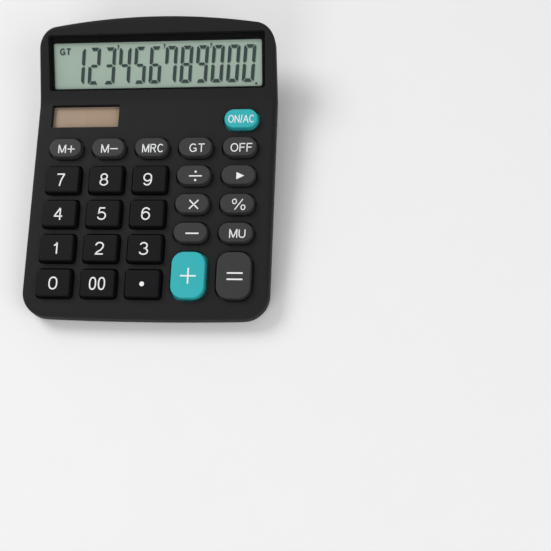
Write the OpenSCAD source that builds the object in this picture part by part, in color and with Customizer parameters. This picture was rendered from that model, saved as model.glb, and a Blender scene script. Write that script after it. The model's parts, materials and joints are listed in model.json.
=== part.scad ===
// Twelve-digit dual-power desk calculator with a tilted display hood.
// Axes: +X to the right, +Y towards the display, +Z up.
// Origin: centre of the footprint, on the surface that the feet stand on.

/* [Body] */
// Overall width of the casing
body_w = 120; // [118:1:126]
// Overall depth of the casing, front edge to rear edge
body_d = 147; // [144:1:152]
// Height of the keypad surface at the front edge
front_h = 10; // [9.6:0.1:12]
// Slope of the keypad surface
keypad_tilt = 5; // [4:0.5:6]
// Extra slope of the display hood over the keypad surface
hood_tilt = 19.5; // [16:0.5:22]
// Horizontal run from the front edge to the crease between keypad and hood
crease_run = 109.2; // [108:0.2:111]
// Corner radius at the front of the casing, in plan
front_corner_r = 12.5; // [8:0.5:16]
// Corner radius at the rear of the casing, in plan
rear_corner_r = 10; // [6:0.5:14]
// Bow of the front edge, in plan
front_bow = 1.2; // [0.8:0.1:3]
// Bow of the rear edge, in plan
rear_bow = 4.8; // [2:0.1:6]
// Narrowing of the hood at its rear edge, on each side
hood_taper = 0.9; // [0:0.1:2]
// Wall thickness of both covers
wall = 1.8; // [1.6:0.1:2]

/* [Keys] */
// Column pitch of the keys
column_pitch = 21.7; // [21:0.1:22]
// Row pitch of the number keys
number_pitch = 17.2; // [17:0.1:17.6]
// Row pitch of the oval keys
oval_pitch = 14.25; // [14:0.05:14.4]
// Width and length of a number key
number_size = [16.9, 13.4];
// Width and length of an oval key
oval_size = [16.7, 9.9];
// Width and length of the tall plus and equals keys
tall_size = [16.6, 22.7];
// Height of the keys above the keypad surface
key_h = 3; // [2:0.1:3.5]
// Travel of every key
key_travel = 1.2; // [0.8:0.1:1.4]
// Gap between a key and its opening
key_gap = 0.7; // [0.4:0.05:0.75]

/* [Display] */
// Width and length of the visible display area
view_size = [105.4, 22.6];
// Distance from the crease to the lower edge of the visible area
view_start = 6.3; // [6:0.1:7]
// Depth of the recess that holds the display window
recess_depth = 2.2; // [2:0.1:2.4]

/* [Power] */
// Diameter and thickness of the button cell
cell_size = [11.6, 3.05];
// Width and length of the battery door
door_size = [17.1, 20.5];
// Centre of the battery door in plan
door_centre = [-40.1, -0.4];
// Width and length of the solar cell's opening
solar_size = [34.2, 11.6];

/* [Hidden] */
$fn = 48;
eps = 0.01;
tall = 80;
corner_steps = 10;
bow_steps = 16;

front_y = -body_d / 2;
crease_y = front_y + crease_run;
crease_z = front_h + crease_run * tan(keypad_tilt);
display_tilt = keypad_tilt + hood_tilt;
rear_y = body_d / 2;
rear_z = crease_z + (rear_y - crease_y) * tan(display_tilt);

// The two covers part this far below the top surface.
side_h = 6.5;
rear_inset = 1.0;
cover_gap = 0.1;

// Underside of the rear cover.
base_z = 0.8;
base_rear_y = 44.4;
step_top = [45.6, 4.6];
hood_edge_drop = 8.4;
cove_sagitta = 2;
cove_steps = 5;
side_slope = 45;
hood_side_slope = 22;

// Levels in the keypad's stack, measured from the keypad surface.
flange_top = -wall - 0.2;
flange_t = 0.8;
flange_w = 0.9;
mat_top = flange_top - flange_t - 0.1;
board_top = -5.6;
board_t = 1.2;
mat_t = 0.6;
mat_length = 81.3;

// Rows, measured along the keypad surface from the front edge.
number_row = 16.5;
tall_row = 20.85;
oval_row = 41.55;
// Span of the main board up the slope, and its width.
board_v = [6.4, 93];
board_w = 103.6;
// Tongue of the board that carries the last key's contact, beside the ribbon.
tongue_x = [38.4, 51.8];
tongue_end = 104;

// Name, column from the left, row position, size and colour of each key.
NUMBER = "number";
OVAL = "oval";
TALL = "tall";
black = [0.15, 0.15, 0.155];
grey = [0.27, 0.27, 0.275];
teal = [0.2, 0.7, 0.71];
KEYS = [
    for (k = [
        ["0", 0, 0], ["00", 1, 0], ["point", 2, 0],
        ["1", 0, 1], ["2", 1, 1], ["3", 2, 1],
        ["4", 0, 2], ["5", 1, 2], ["6", 2, 2],
        ["7", 0, 3], ["8", 1, 3], ["9", 2, 3]
    ]) [str("key_", k[0]), k[1], number_row + number_pitch * k[2], NUMBER, black],
    for (k = [
        ["minus", 3, 0], ["mu", 4, 0], ["multiply", 3, 1], ["percent", 4, 1],
        ["divide", 3, 2], ["back", 4, 2], ["m_plus", 0, 3], ["m_minus", 1, 3],
        ["mrc", 2, 3], ["gt", 3, 3], ["off", 4, 3], ["on_ac", 4, 4]
    ]) [str("key_", k[0]), k[1], oval_row + oval_pitch * k[2], OVAL, k[0] == "on_ac" ? teal : grey],
    ["key_plus", 3, tall_row, TALL, teal],
    ["key_equals", 4, tall_row, TALL, grey]
];

// Feet under the base, and the screw that takes the fourth corner.
foot_r = 4.4;
FEET = [[-40.5, 36], [40.5, 36], [-44, -58.5]];
screw_xy = [44, -58.5];
// Row at which the screw passes through the board.
screw_row = (screw_xy[1] - front_y) / cos(keypad_tilt) + (board_top - board_t / 2) * tan(keypad_tilt);

// Posts of the front cover that the board is staked to: column gap, row.
POSTS = [for (x = [-1.5, -0.5, 0.5, 1.5], v = [24.2, 75.6]) [x * column_pitch, v]];
post_r = 0.9;
stake_r = 1.6;

// Display stack, measured from the hood's surface.
recess_size = [108.8, 27.2];
recess_start = view_start - 0.9;
window_t = 1;
window_gap = 0.15;
ledge_t = 1;
glass_t = 1.1;
glass_top = -recess_depth - ledge_t - 0.1;
pocket_depth = 6.6;
glass_w = 107;
front_glass_span = [view_start - 0.8, view_start + view_size[1] + 1.6];
rear_glass_span = [view_start - 2.1, view_start + view_size[1] + 1.6];
pocket_gap = 0.4;
retainer_w = 110.4;
ribbon_w = 74;

// Solar stack, measured from the keypad surface.
solar_at = [-35.6, 101.9];
solar_window_size = [36.8, 13];
solar_window_t = 0.8;
solar_cell_size = [35.6, 12.4];

// ---------- Frames and outlines ----------

// Puts children on the keypad surface: x across, y up the slope from the front edge.
module on_keypad() {
    translate([0, front_y, front_h]) rotate([keypad_tilt, 0, 0]) children();
}

// Puts children on the hood's surface: x across, y up the slope from the crease.
module on_hood() {
    translate([0, crease_y, crease_z]) rotate([display_tilt, 0, 0]) children();
}

// Points [y, z] in the side view, from places on the keypad or the hood.
function keypad_point(v, w) = [
    front_y + v * cos(keypad_tilt) - w * sin(keypad_tilt),
    front_h + v * sin(keypad_tilt) + w * cos(keypad_tilt)
];
function hood_point(u, w) = [
    crease_y + u * cos(display_tilt) - w * sin(display_tilt),
    crease_z + u * sin(display_tilt) + w * cos(display_tilt)
];

// Rectangle on the hood, of a width and a span up the slope.
module on_span(width, span) {
    translate([-width / 2, span[0]]) square([width, span[1] - span[0]]);
}

// Extrudes a side view, drawn as [y, z], across the body.
module side_view(width = body_w + 20) {
    rotate([90, 0, 90]) translate([0, 0, -width / 2]) linear_extrude(width) children();
}

// Points of one bowed end of the plan outline, from right to left, apex at +Y.
function bowed_end(corner_r, bow, inset) =
    let (half = body_w / 2,
         bow_r = (half * half + bow * bow) / (2 * bow),
         bow_y = body_d / 2 - bow_r,
         cx = half - corner_r,
         cy = bow_y + sqrt(pow(bow_r - corner_r, 2) - cx * cx),
         turn = atan2(cy - bow_y, cx),
         r = corner_r - inset,
         corner = [for (i = [0 : corner_steps])
             let (a = turn * i / corner_steps)
             [cx + r * cos(a), cy + r * sin(a)]])
    concat(
        corner,
        [for (i = [1 : bow_steps - 1])
            let (a = turn + (180 - 2 * turn) * i / bow_steps)
            [(bow_r - inset) * cos(a), bow_y + (bow_r - inset) * sin(a)]],
        [for (i = [corner_steps : -1 : 0]) [-corner[i][0], corner[i][1]]]
    );

// Moves a plan point of the hood inwards, more towards the rear.
function tapered(p) =
    [p[0] * (1 - 2 * hood_taper / body_w * max(0, p[1] - crease_y) / (rear_y - crease_y)), p[1]];

// Plan outline of the casing, drawn in from its edge by inset.
module outline(inset = 0) {
    side_x = body_w / 2 - inset;
    points = concat(
        bowed_end(rear_corner_r, rear_bow, inset),
        [[-side_x, crease_y]],
        [for (p = bowed_end(front_corner_r, front_bow, inset)) -p],
        [[side_x, crease_y]]
    );
    polygon([for (p = points) tapered(p)]);
}

// Everything below the top surface, lowered by drop.
module under_top(drop) {
    reach = 5;
    side_view() polygon([
        [front_y - reach, -reach],
        [front_y - reach, front_h - reach * tan(keypad_tilt) - drop],
        [crease_y, crease_z - drop],
        [rear_y + reach, rear_z + reach * tan(display_tilt) - drop],
        [rear_y + reach, -reach]
    ]);
}

// Rectangle with round corners, centred.
module rounded(size, r) {
    square([size[0] - 2 * r, size[1]], center = true);
    square([size[0], size[1] - 2 * r], center = true);
    for (sx = [-1, 1], sy = [-1, 1])
        translate([sx * (size[0] / 2 - r), sy * (size[1] / 2 - r)]) circle(r);
}

// Slab on the current surface, from level low to level high.
module slab(low, high) {
    translate([0, 0, low]) linear_extrude(high - low) children();
}

// Round wire through a list of points.
module wire(points, r) {
    for (i = [0 : len(points) - 2]) hull() {
        translate(points[i]) sphere(r, $fn = 10);
        translate(points[i + 1]) sphere(r, $fn = 10);
    }
}

// ---------- Keys ----------

function key_x(k) = (k[1] - 2) * column_pitch;
function key_size(k) = k[3] == NUMBER ? number_size : k[3] == OVAL ? oval_size : tall_size;
function key_corner(k) = k[3] == NUMBER ? 1.5 : k[3] == OVAL ? oval_size[1] / 2 - eps : 6;

// Outline of a key, grown all round.
module key_outline(k, grow) {
    size = key_size(k) + [2 * grow, 2 * grow];
    translate([key_x(k), k[2]]) rounded(size, key_corner(k) + grow);
}

module key(k) {
    color(k[4]) on_keypad() {
        slab(flange_top, key_h) key_outline(k, 0);
        slab(flange_top - flange_t, flange_top + eps) key_outline(k, flange_w);
    }
}

// ---------- Covers ----------

module front_cover() {
    color([0.18, 0.18, 0.185]) {
        difference() {
            intersection() {
                linear_extrude(tall) outline();
                difference() {
                    under_top(0);
                    under_top(side_h);
                }
            }
            difference() {
                intersection() {
                    linear_extrude(tall) outline(wall);
                    under_top(wall);
                }
                on_hood() display_tray();
            }
            on_keypad() {
                for (k = KEYS) slab(-wall * 2, 1) key_outline(k, key_gap);
                slab(-wall * 2, 1) translate(solar_at) rounded(solar_size, 0.6);
            }
            on_hood() display_opening();
        }
        on_keypad() board_posts();
    }
}

// Block under the hood that the display recess and its pocket are cut into.
module display_tray() {
    rim = 1.4;
    slab(-pocket_depth, 0)
        on_span(recess_size[0] + 2 * rim, [recess_start - rim, recess_start + recess_size[1] + rim]);
}

// Recess for the window, opening to the display, and pocket behind the ledge.
module display_opening() {
    centre = [0, recess_start + recess_size[1] / 2];
    slab(-recess_depth, 1) translate(centre) rounded(recess_size, 1.4);
    slab(-pocket_depth, 0) translate([0, view_start + view_size[1] / 2]) rounded(view_size, 1);
    slab(-pocket_depth - 1, -recess_depth - ledge_t)
        on_span(glass_w + 2 * pocket_gap, rear_glass_span + [-pocket_gap, pocket_gap]);
}

// Stakes that hold the main board, with their melted heads under it.
module board_posts() {
    board_bottom = board_top - board_t;
    for (p = POSTS) translate([p[0], p[1], 0]) {
        translate([0, 0, board_bottom - 0.6]) cylinder(r = post_r, h = -wall - board_bottom + 0.7);
        translate([0, 0, board_bottom - 0.7]) cylinder(r = stake_r, h = 0.6);
    }
}

// Half-space below a sloping side, mirrored to both sides of the body.
module side_cut(origin_y, origin_z, slope_y, lean, inset) {
    far = 200;
    for (s = [0, 1]) mirror([s, 0, 0])
        translate([body_w / 2 - rear_inset, origin_y, origin_z - side_h])
            rotate([slope_y, 0, 0])
                rotate([0, lean, 0])
                    translate([-inset, -far / 2, -far])
                        cube([far, far * 2, far * 2]);
}

// Points [y, z] of the hollow curve from the base's step to the hood's rear edge, drawn in by inset.
function cove(inset) =
    let (chord = [rear_y, rear_z - hood_edge_drop] - step_top,
         half = norm(chord) / 2,
         r = (half * half + cove_sagitta * cove_sagitta) / (2 * cove_sagitta),
         outward = [chord[1], -chord[0]] / norm(chord),
         centre = step_top + chord / 2 + outward * (r - cove_sagitta),
         spread = asin(half / r),
         middle = atan2(-outward[1], -outward[0]))
    [for (i = [-cove_steps : cove_steps])
        let (a = middle - spread * i / cove_steps)
        centre + (r + inset) * [cos(a), sin(a)]];

// Solid form of the rear cover, with every outer face drawn in by inset.
module rear_form(inset) {
    front = front_y + 1 + inset;
    difference() {
        intersection() {
            linear_extrude(tall) outline(rear_inset + inset);
            under_top(side_h + cover_gap);
            side_view() polygon(concat(
                [[front, front_h], [front, front_h - side_h], [front + 2.4, base_z + inset],
                 [base_rear_y - inset * 0.7, base_z + inset]],
                cove(inset),
                [[rear_y + 5, tall], [front, tall]]
            ));
        }
        side_cut(front_y, front_h, keypad_tilt, side_slope, inset);
        side_cut(crease_y, crease_z, display_tilt, hood_side_slope, inset);
    }
}

module rear_cover() {
    color([0.16, 0.16, 0.18]) difference() {
        union() {
            difference() {
                rear_form(0);
                difference() {
                    rear_form(wall);
                    battery_bay_block();
                    for (f = FEET) translate([f[0], f[1], 0]) cylinder(r = foot_r + 1.2, h = base_z + 2.6);
                }
            }
            translate([screw_xy[0], screw_xy[1], 0]) cylinder(r = foot_r, h = base_z + 2.4);
        }
        battery_bay();
        for (f = FEET) translate([f[0], f[1], -eps]) cylinder(r = foot_r + 0.1, h = base_z + 1);
        translate([screw_xy[0], screw_xy[1], -eps]) {
            cylinder(r = 2.9, h = 1.5);
            cylinder(r = 1.1, h = 10);
        }
    }
}

// ---------- Battery bay and door ----------

door_t = 1.6;
door_z = base_z + 0.05;
door_r = door_t / 2;
door_gap = 0.15;
door_corner_r = 0.6;
bay_corner_r = 0.3;
hinge_y = door_centre[1] - door_size[1] / 2 + door_r;
hinge_z = door_z + door_r;
hinge_pin_r = 0.55;
bay_ceiling = 8.2;
latch_size = [10.6, 1.7];
scoop_r = 3.9;

module battery_bay_block() {
    translate([door_centre[0] - door_size[0] / 2 - 1, door_centre[1] - door_size[1] / 2 - 1.4, 0])
        cube([door_size[0] + 2.4, door_size[1] + 4.6, bay_ceiling]);
}

// Opening for the door, the room for the cell and the latch slot.
module battery_bay() {
    door_rear = door_centre[1] + door_size[1] / 2;
    translate([door_centre[0], door_centre[1], -eps])
        linear_extrude(door_z + door_t + 0.1) rounded(door_size + [2, 2] * door_gap, bay_corner_r);
    translate([door_centre[0], door_centre[1], 0])
        slab(door_z + door_t, bay_ceiling - 1) square(door_size - [2.4, 3.4], center = true);
    translate([door_centre[0] - latch_size[0] / 2, door_rear - 1.2, -eps])
        cube([latch_size[0], latch_size[1] + 1.2, 5.4]);
    translate([door_centre[0], door_rear + latch_size[1] - eps, -eps])
        difference() {
            cylinder(r = scoop_r, h = base_z + 1);
            translate([-10, -20, -1]) cube([20, 20, 10]);
        }
    translate([door_centre[0] - door_size[0] / 2 - 0.9, hinge_y, hinge_z])
        rotate([0, 90, 0]) cylinder(r = hinge_pin_r + 0.07, h = door_size[0] + 1.8);
}

module battery_door() {
    plate_start = hinge_y;
    door_rear = door_centre[1] + door_size[1] / 2;
    color([0.16, 0.16, 0.18]) {
        intersection() {
            translate([door_centre[0], door_centre[1], door_z])
                linear_extrude(door_t) rounded(door_size, door_corner_r);
            translate([-body_w, plate_start, 0]) cube([2 * body_w, 40, 10]);
        }
        translate([door_centre[0] - door_size[0] / 2 + 1.2, hinge_y, hinge_z])
            rotate([0, 90, 0]) cylinder(r = door_r, h = door_size[0] - 2.4);
        translate([door_centre[0] - door_size[0] / 2 - 0.7, hinge_y, hinge_z])
            rotate([0, 90, 0]) cylinder(r = hinge_pin_r, h = door_size[0] + 1.4);
        translate([door_centre[0] - 4, door_rear - 0.9, door_z])
            cube([8, 0.8, 4]);
        translate([door_centre[0] - 4, door_rear - 0.2, door_z + 0.2])
            cube([8, 0.9, 0.9]);
    }
}

cell_z = door_z + door_t + 0.3;

module button_cell() {
    color([0.75, 0.76, 0.78]) translate([door_centre[0], door_centre[1], cell_z]) {
        cylinder(d = cell_size[0], h = cell_size[1] - 0.4);
        translate([0, 0, cell_size[1] - 0.4 - eps]) cylinder(d = cell_size[0] - 1.6, h = 0.4);
    }
}

module negative_contact() {
    top = cell_z + cell_size[1];
    color([0.8, 0.78, 0.72]) translate([door_centre[0], door_centre[1], top + 0.05]) {
        translate([-3, -5, 0.5]) cube([6, 12, 0.3]);
        translate([-1.2, -3, 0]) cube([2.4, 6, 0.5 + eps]);
    }
}

module positive_contact() {
    color([0.8, 0.78, 0.72]) translate([door_centre[0], door_centre[1], cell_z]) {
        translate([-3.5, -cell_size[0] / 2 - 0.5, 0.1]) cube([7, 0.3, 3.9]);
        translate([-2, -cell_size[0] / 2 - 0.22, 1]) cube([4, 0.2, 1.2]);
    }
}

// ---------- Display ----------

module display_window() {
    color([0.75, 0.8, 0.78, 0.4]) on_hood()
        slab(-recess_depth, -recess_depth + window_t)
            translate([0, recess_start + recess_size[1] / 2])
                rounded(recess_size - [2, 2] * window_gap, 1.3);
}

module lcd_front_glass() {
    color([0.66, 0.73, 0.67]) on_hood()
        slab(glass_top - glass_t, glass_top) on_span(glass_w, front_glass_span);
}

module lcd_rear_glass() {
    color([0.6, 0.66, 0.62]) on_hood()
        slab(glass_top - 2 * glass_t - 0.05, glass_top - glass_t - 0.05)
            on_span(glass_w, rear_glass_span);
}

module lcd_reflector() {
    low = glass_top - 2 * glass_t - 0.35;
    color([0.8, 0.81, 0.78]) on_hood()
        slab(low, low + 0.25) on_span(glass_w - 1, [view_start - 0.4, front_glass_span[1] - 0.4]);
}

// Flat frame across the back of the tray, fixed to the tray's side rims.
module lcd_retainer() {
    top = -side_h * cos(display_tilt) - 0.05;
    color([0.85, 0.85, 0.82]) on_hood() slab(top - 0.55, top) difference() {
        on_span(retainer_w, [view_start + 2, front_glass_span[1] - 2]);
        on_span(retainer_w - 28, [view_start + 6, front_glass_span[1] - 6]);
    }
}

// Flexible strip that joins the rear glass to the main board.
module lcd_ribbon() {
    t = 0.15;
    low_w = glass_top - 2 * glass_t - 0.45;
    start = hood_point(rear_glass_span[0] + 1.6, low_w + 0.2);
    bend = hood_point(rear_glass_span[0] - 1.4, low_w - 0.8);
    land = keypad_point(board_v[1] - 1, board_top + 0.05);
    finish = keypad_point(board_v[1] - 4, board_top + 0.05);
    color([0.8, 0.55, 0.25]) side_view(ribbon_w) polygon([
        start, bend, land, finish,
        finish + [0, t], land + [-0.2, t], bend + [-0.15, t], start + [0, t]
    ]);
}

// ---------- Solar cell ----------

module solar_window() {
    color([0.5, 0.45, 0.4, 0.4]) on_keypad()
        slab(-wall - solar_window_t - 0.02, -wall - 0.02)
            translate(solar_at) rounded(solar_window_size, 0.8);
}

module solar_cell() {
    top = -wall - solar_window_t - 0.15;
    color([0.45, 0.33, 0.26]) on_keypad()
        slab(top - 1.1, top) translate(solar_at) rounded(solar_cell_size, 0.2);
}

module solar_wires() {
    cell_low = -wall - solar_window_t - 1.25;
    under_board = board_top - board_t - 0.65;
    color([0.7, 0.1, 0.1]) on_keypad() for (x = [-12.5, -9.5])
        wire([
            [solar_at[0] + x, solar_at[1] - 2.8, cell_low - 0.5],
            [solar_at[0] + x, board_v[1] + 1, under_board],
            [solar_at[0] + x, board_v[1] - 3, under_board]
        ], 0.45);
}

// ---------- Board ----------

module board_outline() {
    difference() {
        union() {
            translate([-board_w / 2, board_v[0]]) square([board_w, board_v[1] - board_v[0]]);
            translate([tongue_x[0], board_v[0]]) square([tongue_x[1] - tongue_x[0], tongue_end - board_v[0]]);
        }
        for (p = POSTS) translate([p[0], p[1]]) circle(post_r + 0.1);
        translate([screw_xy[0], screw_row]) circle(2.05);
    }
}

module main_board() {
    color([0.35, 0.5, 0.25]) on_keypad() slab(board_top - board_t, board_top) board_outline();
}

module contact_pads() {
    color([0.08, 0.08, 0.08]) on_keypad() for (k = KEYS)
        translate([key_x(k), k[2], board_top + 0.01]) cylinder(r = 2.4, h = 0.06, $fn = 24);
}

module controller_chip() {
    low = board_top - board_t;
    color([0.05, 0.05, 0.05]) on_keypad() translate([14, 62, low - 1.7]) {
        intersection() {
            translate([0, 0, 1.7 - eps]) mirror([0, 0, 1]) cylinder(r1 = 8, r2 = 5, h = 1.6);
            translate([-10, -10, 0]) cube([20, 20, 1.69]);
        }
    }
}

module capacitor() {
    low = board_top - board_t;
    color([0.1, 0.15, 0.3]) on_keypad() translate([-6, 84, low - 2.3])
        rotate([0, 90, 0]) {
            cylinder(r = 2, h = 7);
            for (s = [-1, 1]) translate([s * 0.8, 0, 7 - eps]) cylinder(r = 0.25, h = 2.5, $fn = 16);
        }
}

module diode() {
    low = board_top - board_t;
    color([0.8, 0.35, 0.2]) on_keypad() translate([24, 84, low - 1.1])
        rotate([0, 90, 0]) {
            translate([0, 0, 3]) cylinder(r = 0.9, h = 3.4);
            cylinder(r = 0.25, h = 9.4, $fn = 16);
        }
}

module battery_wires() {
    board_low = keypad_point(88, board_top - board_t - 0.6);
    color([0.75, 0.1, 0.1]) for (x = [-3, 2])
        wire([
            [door_centre[0] + x, 5, bay_ceiling + 0.5],
            [door_centre[0] + x, 10, bay_ceiling + 0.9],
            [door_centre[0] + x + 0.8, board_low[0], board_low[1]]
        ], 0.4);
}

module keypad_mat() {
    level = board_top + 0.1;
    color([0.8, 0.8, 0.82]) on_keypad() {
        slab(level, level + mat_t) difference() {
            union() {
                translate([-board_w / 2 + 1, board_v[0] + 0.6]) square([board_w - 2, mat_length]);
                translate([tongue_x[0] + 0.3, board_v[0] + 0.6])
                    square([tongue_x[1] - tongue_x[0] - 1.3, tongue_end - board_v[0] - 1.2]);
            }
            for (p = POSTS) translate([p[0], p[1]]) circle(post_r + 0.3);
            for (k = KEYS) translate([key_x(k), k[2]]) circle(3);
        }
        for (k = KEYS) translate([key_x(k), k[2], level + mat_t - eps]) difference() {
            cylinder(r = 3.8, h = mat_top - level - mat_t);
            translate([0, 0, -1]) cylinder(r = 3, h = mat_top - level - mat_t + 0.2);
        }
    }
}

// ---------- Feet and fastener ----------

module rubber_feet() {
    color([0.1, 0.1, 0.1]) for (f = FEET) translate([f[0], f[1], 0])
        cylinder(r = foot_r, h = base_z + 0.9);
}

module case_screw() {
    color([0.6, 0.6, 0.62]) translate([screw_xy[0], screw_xy[1], 0.35]) {
        difference() {
            cylinder(r = 2.5, h = 1.1);
            for (a = [0, 90]) rotate(a) translate([-1.6, -0.3, -eps]) cube([3.2, 0.6, 0.7]);
        }
        cylinder(r = 0.95, h = 5.1);
    }
}

module screw_insert() {
    insert_z = keypad_point(screw_row, board_top - board_t)[1];
    color([0.75, 0.6, 0.3]) translate([screw_xy[0], screw_xy[1], insert_z - 0.4]) difference() {
        cylinder(r = 1.9, h = 1.3);
        translate([0, 0, -1]) cylinder(r = 1.05, h = 4);
    }
}

front_cover();
rear_cover();
battery_door();
display_window();
solar_window();
lcd_front_glass();
lcd_rear_glass();
lcd_reflector();
lcd_retainer();
lcd_ribbon();
main_board();
contact_pads();
controller_chip();
capacitor();
diode();
solar_cell();
solar_wires();
battery_wires();
button_cell();
positive_contact();
negative_contact();
keypad_mat();
rubber_feet();
case_screw();
screw_insert();
for (k = KEYS) key(k);
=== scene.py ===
import json
import math

import bmesh
import bpy
from mathutils import Matrix, Vector

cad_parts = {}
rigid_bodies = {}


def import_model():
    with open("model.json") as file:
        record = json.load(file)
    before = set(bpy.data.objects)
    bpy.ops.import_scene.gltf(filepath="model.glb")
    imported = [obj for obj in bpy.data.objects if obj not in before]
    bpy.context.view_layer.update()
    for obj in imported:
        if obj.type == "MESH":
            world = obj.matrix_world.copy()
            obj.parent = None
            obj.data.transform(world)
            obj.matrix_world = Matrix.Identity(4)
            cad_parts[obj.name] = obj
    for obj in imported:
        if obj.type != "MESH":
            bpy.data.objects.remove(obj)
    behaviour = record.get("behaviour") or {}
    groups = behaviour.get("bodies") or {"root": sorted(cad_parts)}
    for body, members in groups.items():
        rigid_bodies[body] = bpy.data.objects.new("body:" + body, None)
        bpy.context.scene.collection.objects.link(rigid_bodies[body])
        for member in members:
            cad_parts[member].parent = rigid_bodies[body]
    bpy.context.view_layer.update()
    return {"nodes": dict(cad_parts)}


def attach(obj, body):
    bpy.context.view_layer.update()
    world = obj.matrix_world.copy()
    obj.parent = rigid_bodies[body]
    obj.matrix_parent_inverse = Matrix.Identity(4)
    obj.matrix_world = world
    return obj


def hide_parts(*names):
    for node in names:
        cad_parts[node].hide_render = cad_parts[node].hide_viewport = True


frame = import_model()

# ---------- Sizes in millimetres, the same as in part.scad ----------
BODY_W, BODY_D, FRONT_H = 120.0, 147.0, 10.0
KEYPAD_TILT = math.radians(5)
DISPLAY_TILT = math.radians(24.5)
FRONT_Y, REAR_Y = -BODY_D / 2, BODY_D / 2
CREASE_RUN = 109.2
CREASE_Y = FRONT_Y + CREASE_RUN
CREASE_Z = FRONT_H + CREASE_RUN * math.tan(KEYPAD_TILT)
REAR_Z = CREASE_Z + (REAR_Y - CREASE_Y) * math.tan(DISPLAY_TILT)
WALL, SIDE_H, REAR_INSET = 1.8, 6.5, 1.0
BASE_Z, BASE_REAR_Y = 0.8, 44.4
PITCH, KEY_H, KEY_GAP = 21.7, 3.0, 0.7
NUMBER, OVAL, TALL = (16.9, 13.4), (16.7, 9.9), (16.6, 22.7)
VIEW, VIEW_START, RECESS_DEPTH = (105.4, 22.6), 6.3, 2.2
RECESS, RECESS_START = (108.8, 27.2), 5.4
GLASS_TOP = -RECESS_DEPTH - 1.1
SOLAR_AT, SOLAR = (-35.6, 101.9), (34.2, 11.6)
FEET = [(-40.5, 36.0), (40.5, 36.0), (-44.0, -58.5)]
SCREW = (44.0, -58.5)
DOOR_C, DOOR = (-40.1, -0.4), (17.1, 20.5)
HINGE = (DOOR_C[1] - DOOR[1] / 2 + 0.8, BASE_Z + 0.85)

# The hood is narrower at its rear edge by this much on each side
HOOD_TAPER = 0.9
# Distance up the slope of the lowest row of each key shape, and the pitch of its rows
NUM_ROW, OVAL_ROW, TALL_ROW = 16.5, 41.55, 20.85
NUM_PITCH, OVAL_PITCH = 17.2, 14.25

# name, column, row up the slope, shape, colour, legend
KEYS = [("key_0", 0, NUM_ROW, NUMBER, "number", "0"),
        ("key_00", 1, NUM_ROW, NUMBER, "number", "00"),
        ("key_point", 2, NUM_ROW, NUMBER, "number", "."),
        ("key_plus", 3, TALL_ROW, TALL, "teal", "plus"),
        ("key_equals", 4, TALL_ROW, TALL, "grey", "equals")]
KEYS += [("key_%d" % d, (d - 1) % 3, NUM_ROW + NUM_PITCH * ((d - 1) // 3 + 1), NUMBER, "number", str(d))
         for d in range(1, 10)]
KEYS += [("key_" + n, c, OVAL_ROW + OVAL_PITCH * r, OVAL, "teal" if n == "on_ac" else "grey", t)
         for n, c, r, t in [("minus", 3, 0, "minus"), ("mu", 4, 0, "MU"),
                            ("multiply", 3, 1, "times"), ("percent", 4, 1, "percent"),
                            ("divide", 3, 2, "divide"), ("back", 4, 2, "back"),
                            ("m_plus", 0, 3, "M+"), ("m_minus", 1, 3, "M-"),
                            ("mrc", 2, 3, "MRC"), ("gt", 3, 3, "GT"),
                            ("off", 4, 3, "OFF"), ("on_ac", 4, 4, "ON/AC")]]


def key_x(column):
    return (column - 2) * PITCH


def on_keypad(x, v, w):
    c, s = math.cos(KEYPAD_TILT), math.sin(KEYPAD_TILT)
    return (x, FRONT_Y + v * c - w * s, FRONT_H + v * s + w * c)


def on_hood(x, u, w):
    c, s = math.cos(DISPLAY_TILT), math.sin(DISPLAY_TILT)
    return (x, CREASE_Y + u * c - w * s, CREASE_Z + u * s + w * c)


def flat(x, y, z):
    return (x, y, z)


# ---------- Materials ----------
def srgb(r, g, b):
    def lin(c):
        c /= 255.0
        return c / 12.92 if c <= 0.04045 else ((c + 0.055) / 1.055) ** 2.4
    return (lin(r), lin(g), lin(b), 1.0)


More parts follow.
